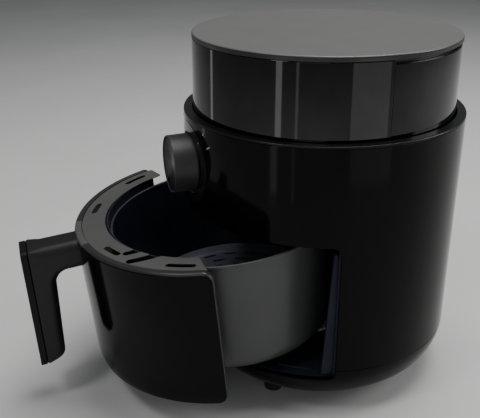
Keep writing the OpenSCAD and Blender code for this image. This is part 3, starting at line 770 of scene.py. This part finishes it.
def knob():
    """Knob with a lip round its dished metal face."""
    back, lip, deep = CUP_Z + 3.1, 1.5, 2.4
    shell = spun([
        (0, back, 0), (KNOB_R - 0.7, back, 0.5), (KNOB_R, back + 1.5, 1), (KNOB_R - 0.5, KNOB_FRONT, 0.6),
        (KNOB_R - lip, KNOB_FRONT, 0.5), (KNOB_R - lip - 0.7, KNOB_FRONT - deep, 0.3),
        (0, KNOB_FRONT - deep, 0),
    ], 160)
    piece("knob_body", shell, KNOB, "knob", KNOB_MATTE, "knob_matte", "knob_shell")
    r = KNOB_R - lip - 1.0
    dish = np.linspace(r - 1.2, 0, 16)
    rise = 1.2 * (dish / r) ** 2
    slope = 2.4 * dish / r ** 2
    size = np.sqrt(1 + slope ** 2)
    base = KNOB_FRONT - deep + 0.05
    edge = fillet([(0, base, 0), (r, base, 0.2), (r, base + 1.7, 0.45), (r - 1.0, base + 1.72, 0.3)])[:-2]
    bowl = np.stack([dish, base + 0.5 + rise, -slope / size, 1 / size], 1)
    face = lathe(np.vstack([edge, bowl]), 160)
    piece("knob_dish", face, KNOB, "knob", KNOB_METAL, "knob_metal", "knob_face")


# ---------- drawer ----------

RIM_R, RIM_IN_R, RIM_Z, RIM_T = 118.3, 97.7, 161.2, 1
PANEL_Z1 = 160.2
CAP_Z = 162
FRAME_R = 118.7
BRACKET_HALF = 11.3
PAN_R, PAN_LOW_R, PAN_BACK, PAN_Z, PAN_TOP, PAN_ROUND = 101.5, 95.5, 8, 40, 152.6, 18
PLATE_Z, PLATE_R = 65, 92.6
BUMPER_AT, BUMPER_ANGLES = 69.3, (45, 135, 225, 315)
PAN = DRAWER @ Matrix.Translation((0, PAN_BACK, 0))
HANDLE_TOP, HANDLE_W, HANDLE_Z, ARM_H = 160.6, 30, 47, 26


def swept(profile, start, end, edge=0.4, step=2.0, steps=3):
    """Closed section swept round the axis between two angles from the front, with rounded ends."""
    start, end = math.radians(start), math.radians(end)
    reach = float(profile[:, 0].mean())
    bevel = [(edge * (1 - math.sin(t)) / reach, edge * (1 - math.cos(t)), t)
             for t in np.linspace(math.pi / 2, 0, steps + 1)]
    count = max(2, math.ceil(math.degrees(end - start) / step))
    inner = np.linspace(start + edge / reach, end - edge / reach, count + 1)[1:-1]
    stations = [(start + turn, inset, -tilt) for turn, inset, tilt in bevel]
    stations += [(angle, 0.0, 0.0) for angle in inner]
    stations += [(end - turn, inset, tilt) for turn, inset, tilt in bevel[::-1]]
    n = len(profile)
    verts, normals = [], []
    for angle, inset, tilt in stations:
        radial = np.array((math.sin(angle), -math.cos(angle), 0))
        along = np.array((math.cos(angle), math.sin(angle), 0))
        at = profile[:, :2] - profile[:, 2:] * inset
        verts.append(at[:, :1] * radial + at[:, 1:] * (0, 0, 1))
        face = profile[:, 2:3] * radial + profile[:, 3:] * (0, 0, 1)
        normals.append(face * math.cos(tilt) + along * math.sin(tilt))
    faces = []
    for k in range(len(stations) - 1):
        for i in range(n):
            j = (i + 1) % n
            faces.append((k * n + i, (k + 1) * n + i, (k + 1) * n + j, k * n + j))
    last = (len(stations) - 1) * n
    faces += [tuple(range(n)), tuple(range(last, last + n))[::-1]]
    return Shape(np.vstack(verts), faces, np.vstack(normals))


PANEL_HALF = arc_mm(math.degrees(math.acos(PANEL_Y / BODY_R)))
PANEL_Z0 = OPENING_Z0 + 1


def drawer_front():
    """Glossy curved panel, which continues the body's wall."""
    rim = fillet([
        (-PANEL_HALF, PANEL_Z0, 8), (PANEL_HALF, PANEL_Z0, 8),
        (PANEL_HALF, PANEL_Z1, 8), (-PANEL_HALF, PANEL_Z1, 8),
    ], 9)
    shape = plate([rim], on_body, WALL, 0.9, 0.4, CELL, 5)
    piece("drawer_panel", shape, DRAWER, "drawer", GLOSS_BLACK, "gloss_black", "drawer_front")


def front_frame():
    """Frame behind the panel: its rounded edge shows as the grey band over the panel and beside it."""
    inset, border = 0.5, 1.1
    half, low = PANEL_HALF + border, FLOOR_Z + 0.5
    step, over_runners = arc_mm(50), FLOOR_Z + 3.4
    rim = fillet([
        (-half, low, 9), (-step, low, 1), (-step, over_runners, 1), (step, over_runners, 1),
        (step, low, 1), (half, low, 9), (half, CAP_Z, 9), (-half, CAP_Z, 9),
    ], 9)

    def place(u, v, depth):
        """From the body's surface in to a single radius, so that the back is an upright wall."""
        angle, front = u / BODY_R, body_radius(v) - inset
        r = front - depth * (front - FRAME_R) / (BODY_R - inset - FRAME_R)
        return np.stack([r * np.sin(angle), -r * np.cos(angle), v + 0 * u], -1)

    shape = plate([rim], place, BODY_R - inset - FRAME_R, 2.3, 0.4, CELL, 6)
    middles = np.array([shape.verts[list(face)].mean(0) for face in shape.faces])
    behind = np.hypot(middles[:, 0], middles[:, 1]) < FRAME_R + 0.3
    shape.mats = (behind & (middles[:, 2] < CAP_Z - 1)).astype(int).tolist()
    piece("drawer_cap", shape, DRAWER, "drawer", (CAP_MATTE_AND_LID_SHADE, CAVITY), "rim_matte", "front_frame")
    block = fillet([
        (FRAME_R - 0.1, CAP_Z - 8, 0.3), (BODY_R - 0.5, CAP_Z - 8, 0.3), (BODY_R - 0.35, CAP_Z + 0.12, 2.3),
        (FRAME_R - 0.1, CAP_Z + 0.12, 0.4),
    ], 15)
    shape = swept(block, -BRACKET_HALF, BRACKET_HALF, 0.35)
    piece("handle_block", shape, DRAWER, "drawer", RIM_MATTE, "rim_matte", "handle_bracket")


def drawer_rim():
    """C-shaped rim with slots and notches, and the collar down to the pan."""
    middle = (RIM_R + RIM_IN_R) / 2
    half = arc_mm(73.5, middle)

    def polar(x, y):
        return middle * math.atan2(x, -y), math.hypot(x, y)

    notches = []
    for x, end, width in ((55.5, -92.4, 6.5), (70, -92.4, 7)):
        a, b = x - width / 2, x + width / 2
        mouth = [middle * math.asin(side / RIM_IN_R) for side in (a, b)]
        notches += [
            (mouth[0], RIM_IN_R, 1.2), (*polar(a, end), 2.8),
            (*polar(b, end), 2.8), (mouth[1], RIM_IN_R, 1.2),
        ]
    rim = fillet([
        (-half, RIM_IN_R, 3), *notches, (*polar(90.3, -37), 2), (*polar(112.3, -37), 2),
        (*polar(112.6, -36.2), 0.5), (-half, RIM_R, 2.5),
    ])
    slots = [hole(slot(arc_mm(a, middle), 110, arc_mm(long, middle), 5.2))
             for a, long in ((-60.5, 13), (-24.5, 11), (24.5, 11), (60.5, 13))]

    def place(u, v, depth):
        angle = u / middle
        return np.stack([v * np.sin(angle), -v * np.cos(angle), RIM_Z - depth + 0 * u], -1)

    shape = plate([rim, *slots], place, RIM_T, 0.4, 0.25, 4)
    piece("drawer_rim", shape, DRAWER, "drawer", RIM_MATTE, "rim_matte", "drawer_rim")
    low = PAN_TOP - 24
    collar = fillet(ring_section(PAN_R + 1.6, PAN_R + 3, low, RIM_Z - RIM_T, 0.3))
    piece("pan_collar", swept(collar, -64, 64, 0.3), PAN, "drawer", CAVITY, "cavity_plastic", "pan_collar")


def frying_pan():
    """Pan with a rolled edge."""
    t = 1.4
    profile = fillet([
        (0, PAN_Z, 0), (PAN_LOW_R - 0.6, PAN_Z, PAN_ROUND), (PAN_R - 0.1, PAN_TOP - 2.6, 0.4),
        (PAN_R + 1.2, PAN_TOP - 2.4, 0.8), (PAN_R + 1.2, PAN_TOP, 1.15), (PAN_R - 1.5, PAN_TOP, 1.15),
        (PAN_LOW_R - 0.6 - t, PAN_Z + t, PAN_ROUND - t), (0, PAN_Z + t, 0),
    ], 6)

    def coating(a, b):
        """Second material on the faces that look in or up, below the rolled edge."""
        looks_in = a[2] + b[2] < 0 or a[3] + b[3] > 1
        return int(looks_in and max(a[0], b[0]) < PAN_R - 0.6)

    shape = lathe(profile, 192, coating)
    piece("pan", shape, PAN, "drawer", (PAN_COAT, NON_STICK), "tub_steel", "frying_pan")


def crisper_plate():
    """Slotted plate on four silicone feet."""
    rows = ((29, 8, 25), (40.5, 11, 15), (52, 14, 12), (63.5, 17, 10), (75, 22, 8))
    slots = []
    for r, count, first in rows:
        for k in range(count):
            a = 360 * k / count + first
            x, y = r * math.sin(math.radians(a)), -r * math.cos(math.radians(a))
            slots.append(hole(slot(x, y, 13, 3.4, a)))

    def place(x, y, depth):
        rho = np.hypot(x, y)
        ramp = np.clip((rho - 78) / 5, 0, 1)
        lip = np.clip((rho - 86.5) / 4, 0, 1)
        rise = 1.4 * ramp ** 2 * (3 - 2 * ramp) + 0.6 * lip ** 2 * (3 - 2 * lip)
        return np.stack([x, y, PLATE_Z + 1.4 + rise - depth], -1)

    outlines = [circle(0, 0, PLATE_R, 144), hole(circle(0, 0, 9, 32)), *slots]
    shape = plate(outlines, place, 1.4, 0.5, 0.3, 3.2, 3)
    # The plate takes the lighter copy of the non-stick coat: painted light on the plate.
    piece("crisper", shape, PAN, "crisper", PLATE_COAT_PAINTED_LIGHT, "non_stick", "crisper_plate")
    foot = spun([(0, PAN_Z + 1.4, 0), (3, PAN_Z + 1.4, 0.8), (2.6, PLATE_Z, 0.4), (0, PLATE_Z, 0)], 32)
    for k, angle in enumerate(BUMPER_ANGLES):
        shape = foot.moved(turned_to(angle, BUMPER_AT))
        stands_for = ("plate_bumpers",) if k == 0 else ()
        piece(f"plate_bumper_{k + 1}", shape, PAN, "crisper", SILICONE, "silicone", *stands_for)


# ---------- handle ----------

GRIP_TOP_Y, GRIP_LOW_Y, GRIP_IN_TOP_Y, GRIP_IN_LOW_Y = -167.1, -172.4, -147.8, -155.2
HANDLE_ROOT = -120.5
TRIM_T = 5.6


def beside(width):
    """Place for a plate whose outline is the side view: u is y, v is z, and its depth runs along x."""
    return lambda u, v, depth: np.stack([width / 2 - depth, u, v + 0 * u], -1)


def grip_front(z):
    """Where the sloping front of the grip is at a height."""
    return GRIP_TOP_Y + (GRIP_LOW_Y - GRIP_TOP_Y) * (HANDLE_TOP - z) / (HANDLE_TOP - HANDLE_Z)


def handle():
    """Hook-shaped grip and the strip on its front."""
    corners = [
        (GRIP_TOP_Y, HANDLE_TOP, 2.6), (GRIP_LOW_Y, HANDLE_Z - 0.5, 2.6),
        (GRIP_IN_LOW_Y, HANDLE_Z + 1.5, 9.4), (GRIP_IN_TOP_Y, HANDLE_TOP - ARM_H, 12),
        (HANDLE_ROOT, HANDLE_TOP - ARM_H, 0.8), (HANDLE_ROOT, HANDLE_TOP, 0.8),
    ]
    rim = refined(fillet(corners, 8), 2)

    def edge(rows):
        """Rounding of the grip, which is full to the fingers and gone at the drawer."""
        y, z = rows[:, 0], rows[:, 1]
        front = 2.3 + (y - grip_front(z)) * 0.5
        root = 0.6 + (HANDLE_ROOT - y) * 2.0
        return np.clip(np.minimum(front, root), 0.6, 8.4)

    shape = plate([rim], beside(HANDLE_W), HANDLE_W, edge, None, 4, 8)
    piece("handle_body", shape, DRAWER, "drawer", HANDLE_MATTE, "handle_matte", "handle_grip")

    def on_front(x, z, depth):
        return np.stack([x, grip_front(z) - TRIM_T + depth, z + 0 * x], -1)

    half = HANDLE_W / 2
    rim = fillet([
        (-half, HANDLE_Z, 3), (half, HANDLE_Z, 3), (half, HANDLE_TOP, 4.5), (-half, HANDLE_TOP, 4.5),
    ])
    shape = plate([rim], on_front, TRIM_T, 0.7, 0.4, 5, 4)
    piece("handle_strip", shape, DRAWER, "drawer", HANDLE_SATIN, "handle_satin", "handle_trim")


# ---------- opening ----------

def cavity_bezel():
    """Fascia round the opening, and the linings that reach to the wall beside it."""
    r = 117.9
    low, high = FLOOR_Z + 0.2, 171.8

    def arc_at(x):
        """Arc length at which the plate reaches a distance from the middle plane."""
        return r * math.asin(x / r)

    side, mouth, wide, foot = arc_mm(80, r), arc_at(112.4), arc_at(114.7), arc_at(110.2)
    rim = fillet([
        (-side, low, 0.8), (-foot, low, 2), (-mouth, 154.6, 1), (-wide, 154.6, 1), (-wide, 164, 1.5),
        (wide, 164, 1.5), (wide, 154.6, 1), (mouth, 154.6, 1), (foot, low, 2), (side, low, 0.8),
        (side, high, 1), (-side, high, 1),
    ], 12)
    shape = plate([rim], round_at(r), 5.9, 0.7, 0.5, CELL)
    wall_r = BODY_R - WALL - 0.05
    for bottom, top, near in ((OPENING_Z0 + 1.5, 154, 117.5), (154.0, high, 119.5)):
        lining = fillet(ring_section(near, wall_r, bottom, top, 0.3))
        shape = shape + swept(lining, 74.0, 80, 0.25) + swept(lining, -80, -74.0, 0.25)
    piece("opening_frame", shape, HOUSING, "housing", CAVITY, "cavity_plastic", "cavity_bezel")


def floor_ribs():
    """Low ribs on the floor just inside the opening, two at each side."""
    rise = 1.6

    def flat(x, y, depth):
        return np.stack([x, y, FLOOR_Z + rise - depth + 0 * x], -1)

    section = fillet([
        (108.9, FLOOR_Z - 0.4, 0.2), (111.1, FLOOR_Z - 0.4, 0.2),
        (111.1, FLOOR_Z + rise, 0.9), (108.9, FLOOR_Z + rise, 0.9),
    ], 15)
    bars = [plate([slot(side * 92.5, -36.6, 23.4, 2)], flat, rise + 0.4, 0.8, 0.2, 4) for side in (-1, 1)]
    shape = bars[0] + bars[1] + swept(section, 49.4, 65.6, 0.6) + swept(section, -65.6, -49.4, 0.6)
    piece("floor_ribs", shape, HOUSING, "housing", CAVITY, "cavity_plastic")


# ---------- rest of the CAD nodes ----------

SLOT_LOOKS = {
    "gloss_black": GLOSS_BLACK,
    "smoked_gloss": SMOKED,
    "gloss_dark": GLOSS_DARK,
    "lid_matte": LID_MATTE,
    "rim_matte": RIM_MATTE,
    "handle_matte": HANDLE_MATTE,
    "handle_satin": HANDLE_SATIN,
    "knob_matte": KNOB_MATTE,
    "knob_metal": KNOB_METAL,
    "tub_steel": PAN_COAT,
    "non_stick": NON_STICK,
    "cavity_plastic": CAVITY,
    "liner_steel": LINER_STEEL,
    "wire_steel": WIRE_STEEL,
    "element_sheath": SHEATH,
    "motor_steel": MOTOR_STEEL,
    "shaft_steel": SHAFT_STEEL,
    "fan_aluminium": FAN_METAL,
    "cooling_plastic": FAN_PLASTIC,
    "ceramic_white": CERAMIC,
    "block_white": WHITE_BLOCK,
    "switch_blue": SWITCH_BLUE,
    "nylon": NYLON,
    "silicone": SILICONE,
    "foot_rubber": FOOT_RUBBER,
    "screw_steel": SCREW_STEEL,
}


# Parts of a shared slot that are seen from outside
NODE_LOOKS = {"exhaust_grille": SEMI_BLACK, "cord_gland": SEMI_BLACK}


def cad_looks():
    """Every CAD node gets its own material, or that of its slot, and smooth round faces."""
    for sub in frame["record"]["subparts"]:
        obj = frame["nodes"][sub["node"]]
        obj.data.materials.clear()
        obj.data.materials.append(NODE_LOOKS.get(sub["node"], SLOT_LOOKS[sub["material_slot"]]))
        obj.data.shade_smooth()
        obj.data.set_sharp_from_angle(angle=math.radians(30))


# ---------- camera, light and floor ----------

def camera():
    """Camera at the photograph's place: the lens is on a 36 mm sensor."""
    data = bpy.data.cameras.new("camera")
    data.lens = 53.29
    data.sensor_width = 36
    data.clip_start = 0.01
    obj = bpy.data.objects.new("camera", data)
    azimuth, pitch, roll = math.radians(72.03), math.radians(-23.92), math.radians(-0.444)
    obj.matrix_world = (
        Matrix.Translation((0.57105, -0.19035, 0.42571))
        @ Matrix.Rotation(azimuth, 4, "Z")
        @ Matrix.Rotation(math.pi / 2 + pitch, 4, "X")
        @ Matrix.Rotation(roll, 4, "Z")
    )
    bpy.context.scene.collection.objects.link(obj)
    bpy.context.scene.camera = obj


def floor():
    """Plain pale floor with a faint change of tone."""
    material, tree, shader = nodes_of("floor", (0.62, 0.62, 0.61), 0.8)
    shader.inputs["Specular IOR Level"].default_value = 0.2
    colour = tint(tree, noise(tree, 3, 3.0), (0.60, 0.60, 0.59), (0.64, 0.64, 0.63))
    tree.links.new(colour, shader.inputs["Base Color"])
    mesh = bpy.data.meshes.new("floor")
    reach = 6.0
    corners = [(-reach, -reach, 0), (reach, -reach, 0), (reach, reach, 0), (-reach, reach, 0)]
    mesh.from_pydata(corners, [], [(0, 1, 2, 3)])
    mesh.materials.append(material)
    obj = bpy.data.objects.new("floor", mesh)
    bpy.context.scene.collection.objects.link(obj)


def area(name, place, target, size, watts, tall=None):
    """Area light that faces a target, square unless it is given a height."""
    light = bpy.data.lights.new(name, "AREA")
    light.energy = watts
    light.size = size
    if tall:
        light.shape = "RECTANGLE"
        light.size_y = tall
    obj = bpy.data.objects.new(name, light)
    obj.location = place
    obj.rotation_euler = (Vector(target) - Vector(place)).to_track_quat("-Z", "Y").to_euler()
    bpy.context.scene.collection.objects.link(obj)


def lights():
    """Soft light from above and behind, weak light from the camera's side, and a dim room."""
    world = bpy.data.worlds.new("world")
    world.use_nodes = True
    world.node_tree.nodes["Background"].inputs["Color"].default_value = (0.75, 0.77, 0.8, 1)
    world.node_tree.nodes["Background"].inputs["Strength"].default_value = 0.17
    bpy.context.scene.world = world
    area("overhead", (-0.1, 0.35, 1.6), (0, 0, 0.15), 1.0, 22)
    area("window", (0.5, 1.5, 0.9), (0, 0, 0.2), 0.9, 12)
    area("fill", (0.95, -0.55, 0.5), (0.1, 0.0, 0.1), 0.5, 0.9)
    area("above_front", (0.3, -0.75, 1.3), (0, -0.05, 0.2), 0.25, 3.4)
    # Narrow panels whose reflections stand upright in the glossy band
    area("strip_left", (-0.31, -0.40, 0.16), (0, 0.07, 0.2), 0.03, 0.04, 0.3)
    area("strip_front", (0.33, -0.44, 0.16), (0, 0.07, 0.2), 0.05, 0.07, 0.3)
    area("strip_near", (0.43, -0.33, 0.16), (0, 0.07, 0.2), 0.02, 0.012, 0.3)
    area("strip_right", (0.64, 0.20, 0.16), (0, 0.07, 0.2), 0.34, 0.165, 0.3)


# ---------- the scene ----------

camera()
floor()
lights()
cad_looks()
outer_shell()
base_bowl()
rubber_feet()
shoulder_ring()
band_front()
band_rear()
top_lid()
dial_plate()
dial_marks()
knob()
cavity_bezel()
floor_ribs()
drawer_front()
front_frame()
drawer_rim()
frying_pan()
crisper_plate()
handle()
